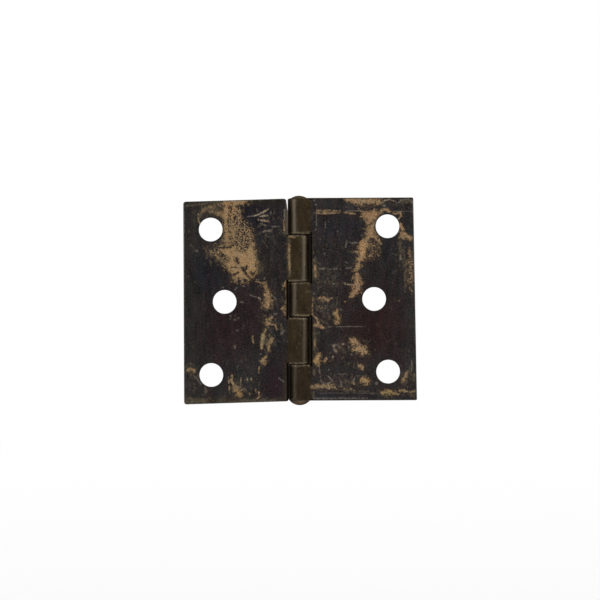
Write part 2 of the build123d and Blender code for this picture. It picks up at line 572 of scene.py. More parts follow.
# Wear is placed in picture pixels: strokes as paths of (column, row, width), outlines as (column, row),
# washes as (column, row, reach across, reach down, colour, strength), flecked places with no colour
doorWear = {
    "ground": (34, 30, 32),
    "washes": [
        (196, 235, 16, 46, (40, 38, 36), 0.85), (203, 275, 16, 26, (22, 22, 31), 0.85),
        (191, 330, 12, 60, (34, 34, 32), 0.8), (226, 330, 24, 34, (34, 19, 22), 0.85),
        (250, 308, 16, 20, (37, 23, 26), 0.75), (262, 222, 18, 20, (27, 26, 34), 0.9),
        (247, 211, 6, 9, (18, 19, 27), 0.9), (270, 262, 14, 26, (37, 33, 32), 0.8),
        (274, 384, 14, 25, (28, 15, 24), 0.85), (262, 200, 26, 5, (42, 38, 30), 0.7),
        (235, 402, 60, 4, (54, 46, 32), 0.8), (260, 268, 6, 8, (58, 46, 38), 0.7),
        (212, 209, 12, 9, (50, 45, 34), 0.7), (240, 376, 20, 16, (34, 33, 33), 0.7),
        (285.4, 380, 2.6, 24, (52, 44, 32), 0.7),
    ],
    "flecked": [
        (210, 210, 19, 11, 1), (268, 338, 8, 16, 1.3), (268, 302, 9, 12, 1.2), (264, 360, 6, 6, 1.2),
        (270, 320, 8, 7, 1.3), (237, 388, 11, 9, 1.3), (191, 371, 8, 8, 1.2), (216, 257, 12, 9, 1.3),
        (190, 235, 8, 40, 0.45), (270, 234, 18, 22, 0.7), (262, 285, 14, 8, 0.6), (270, 318, 14, 34, 0.5),
        (240, 320, 14, 22, 0.2), (246, 386, 20, 14, 0.5), (240, 362, 18, 8, 0.35), (193, 382, 12, 16, 0.6),
        (235, 401, 60, 5, 0.6), (190, 400, 12, 5, 0.9), (283, 300, 4, 60, 0.5), (222, 198, 34, 4, 0.7),
    ],
    "bareGround": (126, 102, 72),
    "bareWashes": [
        (229, 208, 8, 7, (140, 104, 70), 0.8), (243, 262, 18, 16, (136, 109, 75), 0.8),
        (255, 268, 5, 10, (158, 122, 78), 0.6), (268, 300, 8, 10, (142, 112, 82), 0.7),
        (264, 340, 8, 14, (128, 112, 80), 0.7), (238, 392, 8, 8, (144, 112, 66), 0.8),
        (264, 215, 12, 8, (138, 126, 108), 0.9), (246, 382, 14, 8, (126, 114, 102), 0.8),
        (286.2, 299, 2, 22, (84, 60, 32), 0.95),
    ],
    "outlines": [
        [
            (223, 198), (253, 197), (250.4, 201.4), (246, 204), (241.6, 206.4), (241, 214), (244, 219),
            (248, 225), (252, 229), (254.5, 236), (254, 243), (256, 250), (256.6, 258), (256.6, 271),
            (253, 277), (249, 282), (244, 283), (234, 282), (232, 276), (228.5, 271.5), (224, 267),
            (221, 261), (214, 256), (208, 252), (204.8, 249.2), (211, 247.4), (219.4, 244.4), (223, 240),
            (223.5, 229), (222, 218), (221, 205),
        ],
    ],
    "bare": [
        [(254.5, 215.9, 1), (260, 213.6, 1.6), (265, 211.2, 1.9), (268.2, 209.4, 1.4)],
        [(259.4, 216.6, 0.9), (264, 215.9, 2.1), (268, 215.2, 1.3)],
        [(257.6, 219.4, 0.9), (262.4, 220.4, 1.4), (267.4, 221.2, 2)],
        [(264.5, 294, 1.6), (267, 295.5, 5), (268.5, 299, 7.4), (267.5, 303, 7), (267.5, 306.5, 3)],
        [(268, 322.5, 5.4), (270.5, 318, 2.6), (272.5, 317, 1.4)], [(268, 322.5, 4), (266, 318, 1.4)],
        [(268, 323, 4), (273.5, 324.5, 1.4)], [(275.3, 324.5, 1.6), (276.3, 328.5, 2)],
        [(266, 329, 1.4), (263.5, 335, 3), (262, 341, 3.4), (262, 348.5, 2.6)],
        [(272, 339.5, 3.4), (269, 344, 3.2), (268.6, 351, 1.6)], [(252.3, 336, 1.4), (253.6, 343, 1.4)],
        [(263, 360.5, 4.6), (266.8, 355.5, 1.4)], [(263, 361, 4.2), (264.5, 364.5, 2)],
        [(262.5, 361, 3), (259.5, 360.5, 1.2)],
        [(187.5, 370, 2), (190.5, 369.8, 3.6), (193.5, 369, 2.2), (194.5, 372, 1.6)],
        [(232.3, 375, 1.8), (231.3, 381, 2.2), (234.5, 385.5, 2.4), (238, 387.5, 2.2)],
        [(236, 390.5, 4.4), (239, 392.8, 6.8), (241.6, 394, 3.4)],
        [(256.8, 398.8, 1.3), (259.2, 397.5, 1.8), (258.6, 391.5, 1.4)],
        [(258.2, 297.4, 1.1), (260.6, 299.2, 1.3)], [(282, 290, 1.2), (284.5, 285, 2.6), (285.5, 281, 1.4)],
        [(281, 309, 1), (284, 307.5, 3), (285, 315, 1.6)],
        [(284.2, 218, 0.8), (284, 224, 1.3), (284.2, 231, 2)],
        [(286.5, 283, 1), (286.2, 292, 1.4), (286.1, 304, 1.4), (286.4, 315, 1)],
        [(222, 204, 4.2), (214, 206, 3.4), (206, 208.5, 2), (200, 213, 1.4)],
        [(198.6, 214, 1.4), (198.4, 220, 1.7), (200, 224, 1)],
        [(205, 211, 1.8), (210, 211.5, 2.4), (216, 212.5, 3.6), (221, 214, 4.4)],
        [(228.5, 377, 1.3), (229, 383, 1.2)], [(229.5, 386, 1.3), (229, 391, 1.2)],
        [(241, 377, 1), (240.8, 383, 1.2)], [(247, 377, 1.5), (247.4, 381, 1.3)],
        [(251.5, 377.5, 1.2), (251, 381, 1)], [(249.6, 393, 1.6), (249.3, 395, 1.2)],
        [(255.5, 389, 1.2), (256, 392, 1)], [(259, 367, 1.2), (258.8, 373, 1)],
        [(264.6, 286, 3.8), (267.4, 290, 3.8), (268, 294, 4)],
        [(256, 281, 1.4), (262, 283, 1.6), (266, 282, 1.2)],
    ],
    "cuts": [
        [(236.5, 258.5, 3.4), (238, 263, 3)], [(241.5, 267, 1.8), (244.5, 270.5, 2.6), (247, 266.5, 2.4)],
        [(244.5, 270.5, 2), (247, 275, 1.8), (251.5, 279, 2)], [(251, 274, 3), (254.5, 273, 2.6)],
        [(211, 247.8, 1.4), (231, 247.3, 1.4)], [(239.5, 281, 4), (238.5, 278, 1.4)], [(245, 280.5, 3)],
        [(238.5, 206.5, 2.4)], [(231, 268, 1.2), (236, 267, 1.6)], [(234, 275, 2.2), (238, 272.5, 1.8)],
        [(213, 250.5, 1.2), (220, 256.5, 1.6), (226, 255.5, 1.2)], [(221, 262, 1.4), (226.5, 268, 1.4)],
    ],
    "worm": [
        [(238, 207, 8), (238, 215, 14), (241, 226, 20), (244, 236, 24), (242, 246, 16)],
        [(231, 204, 6), (229, 218, 4), (231, 238, 6)], [(225, 245, 8), (234, 243, 11)],
        [(212, 250, 12), (226, 260, 10)], [(222, 205, 8), (210, 209, 14), (199, 216, 10)],
    ],
    "thin": [
        [(265, 286, 5), (267.5, 289.5, 3)], [(222, 204, 6), (212, 207, 6), (202, 211, 4), (198.6, 218, 3)],
        [(286.6, 207, 2.6), (286.8, 220, 3), (286.8, 233, 3)],
        [(285, 210, 2), (285, 222, 3), (284.4, 233, 4)],
        [(257.6, 226.3, 1.4), (260.4, 225.8, 1.4), (262.2, 224, 1.4), (265.3, 225.8, 1.4)],
        [(262, 232.3, 1.4), (266.4, 230.7, 1.6), (271, 231.8, 1.4)], [(256, 253, 3), (258.5, 270, 6)],
        [(190, 364, 2.4)], [(205.5, 388, 2.8), (205.8, 393, 2)], [(241.5, 360, 1.4), (242.5, 364, 1)],
        [(190, 398, 3)], [(186, 401, 4.6), (206, 401, 4)],
        [(241, 400.6, 3), (256, 400.4, 3.6), (275, 401, 3)], [(282, 297, 2), (284, 303, 2)],
        [(234.5, 346, 1.8), (235, 349, 1.4)], [(281, 323.5, 2), (282.5, 333, 2)],
        [(186, 206, 2), (230, 200, 2), (285, 198, 2)],
    ],
    "scratch": [
        [(272.5, 226.6, 1.4), (279, 226.6, 1.3)], [(247.6, 216.4, 0.9), (254.5, 216, 1.4), (257, 215, 1.2)],
        [(270.8, 211.4, 1.2), (271, 214.4, 1.3)], [(260.6, 223.6, 1.3), (265, 225.4, 1.5)],
        [(256.6, 209, 1.2), (257.4, 211.8, 1.3)], [(262.6, 231.8, 1.1), (270, 230.6, 1.4)],
        [(279, 378, 1.4), (283.6, 381.4, 1.4)], [(196.8, 250.6, 2.4)],
        [(194.5, 376.5, 1.2), (198, 380.5, 1.4), (201, 384, 1.2)], [(250, 295, 1.2), (256, 297, 1.6)],
        [(258, 297, 1.4), (261, 299.5, 1.6)], [(223, 287.6, 1.8)], [(235, 289.5, 1.8), (237.5, 287, 1.2)],
        [(242, 285.6, 1.2), (245, 286.6, 1.2)], [(230.5, 315.8, 1.6)], [(230.4, 319, 1.4)],
        [(234.5, 319.5, 1.8)], [(238, 318, 1.4)], [(236, 330.4, 1.4), (239.5, 330.6, 1.2)],
        [(240, 302, 1.4), (243, 302.2, 1.4)], [(234.7, 345.5, 1.6), (235.4, 349, 1)],
        [(273.5, 314.2, 1.8), (276.5, 313.6, 1.4)], [(274, 297, 1.4), (275.5, 299, 1.6)],
        [(281.5, 334, 1.4), (283.5, 330.5, 1.2)], [(284.6, 209, 1.2), (284.2, 218, 1.5)],
        [(260.5, 354, 1.8)], [(256, 279.5, 1.6), (258.5, 279.8, 1.4)],
        [(264, 279, 1.4), (265.5, 277.5, 1.2)],
    ],
    "clean": [
        [(287, 200, 4.4), (287, 232.6, 4.4)],
    ],
}

frameWear = {
    "ground": (37, 32, 33),
    "washes": [
        (340, 205, 60, 6, (43, 41, 42), 0.9), (338, 230, 24, 16, (35, 33, 38), 0.9),
        (388, 255, 14, 20, (33, 31, 34), 0.8), (386, 285, 18, 16, (34, 29, 30), 0.8),
        (374, 330, 34, 30, (35, 19, 19), 0.9), (330, 285, 14, 36, (40, 36, 35), 0.7),
        (412, 330, 6, 50, (36, 36, 34), 0.8), (410, 230, 8, 14, (32, 37, 39), 0.8),
        (338, 372, 26, 16, (42, 36, 37), 0.8), (345, 396, 40, 3, (34, 32, 40), 0.8),
        (314, 345, 3, 16, (54, 47, 32), 0.7),
    ],
    "flecked": [
        (332, 242, 20, 22, 0.35), (352, 275, 20, 18, 0.3), (317, 360, 7, 9, 1.3), (320, 322, 8, 8, 1.3),
        (337, 347, 9, 8, 0.9), (360, 366, 6, 6, 1), (365, 381, 7, 6, 1.2), (336, 316, 6, 10, 1.2),
        (358, 346, 13, 10, 1.1), (322, 300, 10, 6, 1.2), (405, 378, 6, 10, 1.2), (327, 278, 18, 18, 0.9),
        (326, 308, 16, 14, 1), (350, 245, 10, 12, 0.5), (344, 352, 16, 14, 0.75), (344, 382, 24, 10, 0.8),
        (316, 350, 6, 30, 0.8), (402, 256, 10, 24, 0.8), (410, 380, 8, 20, 0.8), (390, 394, 26, 6, 0.7),
        (395, 205, 18, 8, 0.5), (314, 215, 5, 16, 0.7), (314, 270, 4, 40, 0.7), (373, 248, 9, 10, 1),
        (410, 270, 5.5, 26, 1),
    ],
    "bareGround": (128, 103, 74),
    "bareWashes": [
        (361, 202, 20, 5, (136, 112, 82), 0.8), (371, 215, 8, 6, (134, 100, 70), 0.7),
        (362, 250, 6, 12, (152, 119, 80), 0.9), (356, 286, 8, 8, (142, 106, 78), 0.7),
        (317, 360, 8, 8, (140, 112, 72), 0.9), (365, 381, 7, 7, (150, 118, 76), 0.9),
        (358, 346, 12, 10, (146, 118, 86), 0.8), (337, 316, 8, 10, (142, 114, 78), 0.8),
        (388, 393, 12, 5, (134, 112, 66), 0.9), (324, 387, 14, 4, (118, 100, 76), 0.8),
    ],
    "outlines": [
        [
            (360.5, 211.3), (377, 210.3), (382, 212), (378, 215.5), (375.5, 220), (374.6, 227),
            (375.6, 234), (379, 239), (375, 241), (370, 240.5), (368.2, 246), (367.2, 252), (365.4, 259),
            (361.5, 259.5), (358.2, 258.5), (358.6, 250), (358.4, 246), (360.4, 241.5), (365.5, 238),
            (366, 233), (365.5, 230), (367.2, 225), (366.8, 221.5), (364.5, 218.5), (361, 216.5),
        ],
    ],
    "bare": [
        [(345, 199.3, 2.4), (352, 200.2, 5), (360, 201, 7.6), (368, 201, 7), (378.6, 201.2, 6.4)],
        [(316.5, 210.6, 1.4), (330, 210.4, 1.6), (340.5, 211, 1.2)],
        [(317, 213.2, 1.4), (330, 213.2, 1.6), (340, 213, 1.2)],
        [(344, 212.4, 1.2), (350, 213.4, 2.8), (355, 214, 1)],
        [(381.5, 209.8, 2.6), (387, 209.5, 3.2), (390, 211.5, 1.8)],
        [(394, 213.6, 2.2), (399.5, 212.6, 2), (401.5, 216, 1.6), (398.5, 219, 1.6)],
        [(399.8, 223.5, 2.6), (402.4, 229.5, 4.6), (402, 237.5, 4.4)],
        [(403, 233, 3), (406.6, 236, 5.2), (409.6, 238.4, 4.8)],
        [(362.4, 256, 7), (359.4, 261, 6.4), (358, 265.5, 6), (357, 270, 5.6), (357.6, 275.5, 6)],
        [(357.6, 275.5, 6), (357.6, 284, 8), (356.6, 288.3, 8.4), (354, 293, 6), (350, 297, 2.4)],
        [(314.7, 265, 1.6), (315, 270.5, 2.8), (315.5, 276.5, 1.6)],
        [
            (318.2, 299, 1.4), (320.4, 297.6, 2.2), (324.5, 297.6, 2.2), (327.5, 299.7, 2.4),
            (328.8, 302, 1.4),
        ], [(328.3, 300, 1.2), (332, 298, 1.2)],
        [(337, 309.7, 2.2), (336.5, 313, 4.6), (337.6, 318, 6), (336.8, 322.4, 5), (339, 323.6, 1.6)],
        [(311.8, 314.9, 1.6), (316, 317.4, 2.2), (317.6, 321.5, 2.6), (319, 325, 3.4), (325, 328.2, 2)],
        [(315.4, 325, 3), (318.6, 325.4, 3.4)], [(349.5, 338.2, 1.8), (353.5, 341.3, 5.4), (356, 343, 5)],
        [(354.5, 346.5, 4.6), (359.5, 348.5, 7), (364, 351, 7), (366.3, 353.6, 3.4)],
        [(352.5, 350, 2.4), (357, 350, 4)],
        [(320, 353, 1.6), (317.6, 356.4, 5), (316.6, 360.6, 6.8), (318.2, 364.4, 4), (318.8, 367, 1.6)],
        [(323, 361.4, 1.6), (326, 360.2, 2.4), (326.8, 357, 1.6)], [(358.4, 364.6, 2.6), (362.4, 367.6, 3)],
        [(362, 378, 2.2), (363.4, 381, 6.2), (366.8, 381.6, 6.2)],
        [(312.4, 386.6, 3.4), (320, 386.6, 5), (326, 386, 4.6), (333, 386.8, 4.2), (336, 388.4, 2)],
        [(407.4, 371, 1.4), (405.4, 376, 3.6), (402.6, 382, 2)],
        [(381.6, 393, 2.6), (387.5, 392.2, 4.6), (393.5, 392.8, 4.6), (398, 394.4, 1.8)],
        [(399.6, 390.8, 2.2), (404, 390.6, 3), (407, 391.6, 1.6)], [(410, 392, 1.6), (414, 391, 1.6)],
        [(398.9, 301, 1.8)], [(312.6, 298, 0.7), (312.4, 314.5, 0.9)],
        [(409.4, 248, 1.8), (410.4, 256, 4.4), (410.8, 266, 5.8), (411, 278, 6), (411.4, 288, 4)],
        [(411.4, 290, 2.2), (411.6, 294, 1.2)],
        [(369, 243, 6), (373.5, 246, 8.4), (375, 252, 7.4), (371, 256.5, 5)],
        [(377.5, 243.5, 2.6), (379, 249, 2.6)], [(375, 239.6, 3.4), (379.4, 241, 3.6), (381, 244, 2)],
        [(383.4, 202.4, 1.3), (385, 200.4, 1.4), (389.6, 199.6, 1.4), (393.6, 200.6, 1.3)],
        [(354.4, 251.8, 1.8), (357.8, 252.4, 2.6)],
        [(344.6, 283, 1.2), (346.4, 284.4, 1.2), (352.8, 284.7, 1.3)], [(352, 382.6, 1.6), (354, 384, 1.4)],
        [(333.5, 346, 1.8)], [(335.6, 350.5, 2)], [(342.8, 343.6, 2.2)], [(348.6, 346.4, 1.6)],
        [(332.6, 356.8, 1.8)], [(329.8, 361, 1.4)], [(345.2, 301.8, 1.8)], [(338, 389.4, 1.1)],
        [(341, 390.2, 1.1)], [(344, 389, 1.3)], [(347.6, 390, 1.1)], [(350.8, 389.2, 1.4)],
        [(354, 389.8, 1.1)], [(314.6, 339, 1.1), (315, 346, 1.5)],
    ],
    "cuts": [
        [(361.2, 263.6, 2.6)], [(359.8, 271.4, 3.4), (361, 270.4, 2.4)], [(362.8, 282, 1.8)],
        [(369.6, 225, 1.6)], [(383.4, 212.8, 2)], [(398, 215, 2.4)],
        [(346, 206.8, 2.4), (358, 207.2, 3), (372, 207.4, 3.2), (380, 206.4, 2.4)], [(403.8, 231, 1.8)],
        [(352.5, 346, 1.4), (357, 346.6, 1.2)], [(363, 383.5, 1.2), (366, 382.8, 1.2)],
        [(372, 238.5, 1.6), (375, 240.5, 1.4)], [(320.5, 389.5, 2), (325, 389, 1.6)],
    ],
    "worm": [
        [(372, 241, 8), (375, 247, 14), (371, 256, 10)], [(409, 246, 8), (410, 268, 12), (411, 290, 8)],
    ],
    "thin": [
        [(317, 211.8, 1.8), (340, 211.8, 1.8)], [(401, 201.5, 3), (411, 201.5, 3.4)],
        [(314.5, 260, 4), (315.5, 276, 6)], [(352.4, 251.6, 2.4), (356.5, 252, 2.6)],
        [(351.7, 279, 1.2), (351.7, 287, 1.2)], [(352.5, 381, 2.6)],
        [(338, 385.5, 2), (346, 388.5, 5), (354, 391, 3)], [(408.1, 392.6, 2.4), (415.3, 391, 2.4)],
        [(411.5, 394.5, 4)], [(414, 373, 2.4), (414, 381, 2.6)], [(358.9, 391, 1.2), (368, 391.6, 1.4)],
        [(313.8, 370, 2.4), (314.4, 375, 2)], [(315, 333, 2.6), (314.6, 350, 2.8)],
        [(399.4, 243, 4), (400.6, 252, 2.6), (400.4, 259, 1.6)],
        [(404, 250, 1.6), (405.4, 262, 2.2), (405, 275, 2), (405.6, 292, 1.6)],
        [(313, 393, 2), (313.5, 398, 2.4)], [(306, 292, 2), (310.5, 292, 2)], [(390, 300, 1)],
    ],
    "scratch": [
        [
            (382.4, 203.4, 1), (384.6, 200.6, 1.2), (389.6, 199.5, 1.2), (394.6, 200.9, 1.2),
            (397.4, 203.3, 1.2), (401.7, 199.9, 1.2), (408, 199.1, 1.2), (411.4, 200.4, 1.2),
            (411.8, 203, 1),
        ], [(346, 211, 1), (361, 210.8, 1)], [(316.4, 211, 1), (316.4, 226, 1)], [(316, 229.5, 2)],
        [(314.2, 200.6, 1.8)], [(315.8, 204.5, 2.2)], [(384.6, 205.8, 2.8)], [(358.6, 208.5, 1.6)],
        [(320.6, 239, 1.4)], [(337.4, 231.3, 1.8)], [(361.4, 235.2, 2)],
        [(319.6, 268.6, 1.4), (323.9, 268.9, 1.4)], [(328.9, 269.2, 1), (331, 269.2, 1)],
        [(333.9, 268.8, 1.4), (337.4, 268.6, 1.4)], [(340, 269.6, 0.8), (344, 269.6, 0.8)],
        [(346.7, 268.3, 1.6), (351, 267.6, 1.6)], [(324.9, 253.6, 2)], [(333.9, 284, 1.8)],
        [(314.4, 293.4, 2)], [(400.6, 255, 1.6), (400.6, 259.6, 1.6)], [(403, 259, 1.2)], [(322.9, 302, 2)],
        [(320.6, 311, 1.6)], [(341, 309.2, 1.8)], [(328.5, 326.6, 1.4), (331, 326.6, 1)],
        [(336, 326.6, 0.9), (356, 326.6, 1)], [(356, 326.6, 0.8), (366, 327, 0.6)], [(343, 344, 2.4)],
        [(349.2, 346.7, 1.8)], [(339.6, 346.7, 1.6)], [(332.8, 356.6, 2)], [(351.7, 354.4, 1.6)],
        [(340.4, 381, 1.6), (341.7, 386.6, 1.4)], [(354.4, 378, 1.2), (352.8, 383.4, 1.6)],
        [(331.8, 345.3, 1.4), (337.4, 345.3, 1.2)],
        [(333.3, 345.4, 1.6), (334.6, 350.4, 1.6), (336.8, 352.3, 1.4)],
        [(318.9, 366, 1.4), (320.3, 376.6, 1.2), (322.1, 384.4, 1.2)],
        [(323.1, 382.3, 1.2), (327.4, 383.4, 1.4), (331.7, 381.6, 1.4), (332, 379.4, 1.2)],
        [(328.1, 375.9, 1.6), (330.6, 378.7, 1.6)],
        [(348.9, 241.6, 0.8), (351.8, 243.4, 1), (354.4, 242.4, 1.4), (358.4, 243, 1)],
        [(346.8, 240.5, 1), (346, 247.5, 1.3)], [(354, 252.4, 1.4), (357, 253, 1.8)],
        [(344.4, 282.8, 1.3), (346, 284.4, 1.4), (353.4, 284.7, 1.2)], [(338, 374, 0.9), (344.4, 374, 0.9)],
        [(356.5, 376, 0.8), (367, 376, 0.7)], [(325.5, 306, 1.4)], [(319, 306.5, 1.4)], [(324, 314, 1.4)],
        [(328, 309.6, 1.2)], [(328.6, 370, 1.6)], [(325, 222, 1.3), (325.6, 228, 1.1)],
        [(345.4, 262, 1), (348, 263.4, 1)],
        [(376.7, 381.8, 1.2), (378, 383.2, 1.2), (376.7, 384.6, 1.2), (375.4, 383.2, 1.2)],
        [(318, 393.2, 0.5), (345, 393, 0.6), (377, 393.2, 0.4)],
        [(314.6, 398.4, 1.6), (330, 398.4, 1.3), (367.4, 398, 1)], [(411.7, 361, 1.4), (411.7, 372, 1)],
        [(392, 211.2, 0.8), (413, 211.2, 0.7)],
    ],
    "clean": [],
}

# The barrel, where both leaves are rolled: browner, smoother, rubbed on its rims, with painted shade towards
# its foot and in the slots beside it
barrelWear = {
    "tone": (52, 41, 25),
    "reach": 12.5,  # pixels either side of the pin axis
    "blend": 1.5,  # pixels over which its tone runs out
    "footShade": 0.36,  # painted shade: share of its lightness that the tone loses towards the foot, where less light falls
    "footShadeFrom": 330,
    "footShadeOver": 50,
    "flecked": 0.1,
    "rim": 0.26,  # millimetres of rubbed edge
    "rimThin": 0.05,  # added to how far inside a thin place that edge counts
    "rimBare": -1.0,  # and inside a bare one
    "slotShade": 0.36,  # millimetres of painted shade along the slots
    "slotShadeFrom": 0.1,  # millimetres past the barrel to the middle of that painted shade
    "slotShadeSoft": 0.2,
    "bareTone": (124, 104, 76),
    "bare": [
        [(288.8, 243, 1.6), (289.2, 258, 2.8), (289.8, 273, 1.8)],
        [(287.6, 236.4, 2.2), (294.6, 236.8, 2.4)],
    ],
    "thin": [
        [(288.6, 240, 3.4), (289, 258, 4), (289.6, 276, 3)],
        [(297, 280, 1.4), (304, 280, 1.4)],
        [(293, 315.5, 1.4), (300, 316.6, 1.8), (312, 317, 1.6)],
        [(312.8, 297, 1.2), (312.6, 314, 1.2)],
    ],
}

# The side that lies out of sight when the hinge is folded: rubbed round the screws and along the rims
innerWear = {
    "tone": (44, 39, 35),
    "bareTone": (124, 101, 72),
    "seat": 0.95,  # millimetres that a screw head reaches past the hole
    "seatRub": 0.28,
    "seatBare": -0.5,  # added to how far inside a bare place the seat counts
    "flecked": 0.45,
    "rim": 0.10,
}

# Shares of the barrel's radius: out to where a point is on the barrel, and back to where it is on a back
sides = {
    "barrel": 1.02,
    "back": 0.76,
}


def screwHoles():
    places = []
    for mount in frame["record"]["mounts"]:
        if mount["kind"] == "bore":
            places.append((mount["pos_m"][0] / mm, mount["pos_m"][2] / mm, mount["dims"]["r_mm"]))
    return places


def paintLeaf(mesh, wear, edgeAway):
    points = np.empty(len(mesh.vertices) * 3, np.float32)
    mesh.vertices.foreach_get("co", points)
    x, y, z = points.reshape(-1, 3).T.astype(float) / mm
    columns, rows = mmToPicture(x, z)
    onBarrel = np.hypot(x, y) < barrelRadius * sides["barrel"]
    back = np.where(onBarrel, y < 0, y < -barrelRadius * sides["back"])
    shown = back | onBarrel

    def inside(name):
        return insideStrokes(columns, rows, wear[name] + barrelWear.get(name, []))

    bare = inside("bare")
    for outline in wear["outlines"]:
        bare = np.maximum(bare, insideOutline(columns, rows, outline))
    bare = np.minimum(bare, -inside("cuts"))
    thin = inside("thin")
    rim = (barrelWear["rim"] - edgeAway) / barrelWear["rim"]
    rimThin = rim + barrelWear["rimThin"]
    rimBare = rim + barrelWear["rimBare"]
    atPin = (np.abs(x) < barrelRadius) & (np.abs(z) < barrelTop - 2 * barrelWear["rim"])
    thin = np.where(atPin, np.maximum(thin, rimThin), thin)
    bare = np.where(atPin, np.maximum(bare, rimBare), bare)
    farBarrel = onBarrel & ~back
    bare = np.where(farBarrel, rimBare, bare)
    thin = np.where(farBarrel, rimThin, thin)
    # painted shade along the slots beside the barrel, left off where the unshaded strokes lie
    atSlot = ~onBarrel & (np.abs(np.abs(x) - barrelRadius - barrelWear["slotShadeFrom"]) < barrelWear["slotShade"])
    slotShade = np.clip((barrelWear["slotShade"] - edgeAway) / barrelWear["slotShadeSoft"], 0, 1)
    slotShade = np.where(atSlot & (inside("clean") <= 0), slotShade, 0)
    worm = np.clip(inside("worm") * tracks["rise"], 0, 1)
    fromPin = np.abs(columns - picture["pinColumn"])
    nearPin = np.clip((barrelWear["reach"] - fromPin) / barrelWear["blend"], 0, 1)[:, None]
    # painted shade: the barrel's tone darkens towards its foot
    lower = np.clip((rows - barrelWear["footShadeFrom"]) / barrelWear["footShadeOver"], 0, 1)[:, None]
    barrelTone = np.array(linear(*barrelWear["tone"])) * (1 - barrelWear["footShade"] * lower)
    tone = washed(columns, rows, wear["ground"], wear["washes"])
    tone = tone * (1 - nearPin) + barrelTone * nearPin
    bareTone = washed(columns, rows, wear["bareGround"], wear["bareWashes"])
    bareTone = bareTone * (1 - nearPin) + np.array(linear(*barrelWear["bareTone"])) * nearPin
    flecked = np.zeros(len(x))
    for spot in wear["flecked"]:
        flecked = np.maximum(flecked, softSpot(columns, rows, *spot))
    flecked = np.where(onBarrel, barrelWear["flecked"], flecked)

    seats = np.full(len(x), farOutside)
    for holeX, holeZ, radius in screwHoles():
        away = np.hypot(x - holeX, z - holeZ)
        seat = 1 - np.abs(away - radius - innerWear["seat"] / 2) / innerWear["seatRub"]
        seats = np.maximum(seats, seat)
    innerThin = np.maximum((innerWear["rim"] - edgeAway) / innerWear["rim"], seats)
    storeValue(mesh, "bare", np.where(shown, bare, seats + innerWear["seatBare"]))
    storeValue(mesh, "thin", np.where(shown, thin, innerThin))
    storeValue(mesh, "scratch", np.where(back, inside("scratch"), farOutside))
    storeValue(mesh, "worm", np.where(back, worm, 0.0))
    storeValue(mesh, "slotShade", np.where(back, slotShade, 0.0))
    storeValue(mesh, "flecked", np.where(shown, flecked, innerWear["flecked"]))
    for name, colour in (("tone", tone), ("bareTone", bareTone)):
        storeColour(mesh, name, np.where(shown[:, None], colour, np.array(linear(*innerWear[name]))))


def addObject(name, data):
    made = bpy.data.objects.new(name, data)
    bpy.context.scene.collection.objects.link(made)
    return made


def meshObject(name, bm, material):
    mesh = bpy.data.meshes.new(name)
    bm.to_mesh(mesh)
    bm.free()
    mesh.materials.append(material)
    return addObject(name, mesh)


def finishMesh(bm, name, material):
    piece = meshObject(name, bm, material)
    piece.data.shade_smooth()
    piece.data.set_sharp_from_angle(angle=math.radians(cells["sharp"]))
    print(name, "made with", len(piece.data.polygons), "faces")
    return piece


def finishedLeaf(node, wear, material):
    bm = mergedCopy(node)
    cellFaces(bm, isBack, (0, 2), cells["back"])
    cellFaces(bm, isInner, (0, 2), cells["inner"])
    cellFaces(bm, isBarrel, (2,), cells["barrel"])
    bm.normal_update()
    edgeAway = convexEdgeDistance(bm)
    piece = finishMesh(bm, node + "_finished", material)
    paintLeaf(piece.data, wear, edgeAway)
    return piece


hammer = {
    "cell": 0.9,  # millimetres, spread of the hammer marks on the pin's heads
    "depth": 0.05,
    "rub": 0.25,
    "headFrom": 1.0,  # millimetres in from the end of the smaller head, a little inside the barrel
    "cuts": 2,  # across each edge of a head
}


def finishedPin(node, material):
    low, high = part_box(node)
    headFoot = min(high.z, -low.z) / mm - hammer["headFrom"]
    bm = mergedCopy(node)
    heads = [face for face in bm.faces if abs(face.calc_center_median().z) / mm > headFoot]
    edges = list({edge for face in heads for edge in face.edges})
    bmesh.ops.subdivide_edges(bm, edges=edges, cuts=hammer["cuts"], use_grid_fill=True)
    bm.normal_update()
    rubbed = []
    for vert in bm.verts:
        mark = noise.noise(vert.co / mm / hammer["cell"]) * 0.5 + 0.5
        isHead = abs(vert.co.z) / mm > headFoot
        if isHead:
            vert.co = vert.co - vert.normal * (hammer["depth"] * mark * mm)
        rubbed.append((mark - 0.5) + hammer["rub"] if isHead else -1.0)
    piece = finishMesh(bm, node + "_finished", material)
    storeValue(piece.data, "rubbed", np.array(rubbed))
    return piece


# Dark rings of grime and painted shade in the gaps between the knuckles and on the blunted rims of their
# ends
grimeShade = {
    "clear": 0.015,  # millimetres left free on either side of a ring
    "outside": 0.03,  # how far its rim stands in from the barrel
    "inside": 1.22,  # radius, just clear of the pin
    "blunt": 0.18,  # blunted rim of a knuckle
    "tip": 0.05,  # share of a fillet's depth that is left at its foot
    "sides": 72,  # of a ring
    "lumps": 0.02,
    "lumpNoise": 0.8,  # cells to a millimetre
    "tone": solid(24, 18, 11),
    "cloud": 0.8,
    "hue": 0.5,
    "gloss": 0.7,
    "specular": 0.2,
    "bump": (0.5, 0.05),
}


# Near-black crust of grime and painted shade for the knuckle rings
def grimeShadeMaterial():
    material, tree = newMaterial("knuckleGrimeShade")
    crust = patinaOf(tree, grimeShade, placeInMm(tree))
    surface = {
        "Base Color": crust["Color"],
        "Roughness": crust["Roughness"],
        "Specular IOR Level": grimeShade["specular"],
        "Normal": addBump(tree, crust["Relief"], *grimeShade["bump"]),
    }
    addShader(tree, "ShaderNodeBsdfPrincipled", surface)
    return material


# Heights at which the rolled knuckles of a leaf end
def knuckleEnds(node):
    heights = set()
    for face in frame["nodes"][node].data.polygons:
        if abs(face.normal.z) > 0.99 and math.hypot(face.center.x, face.center.y) < barrelRadius * mm:
            heights.add(round(face.center.z / mm, 3))
    return sorted(heights)
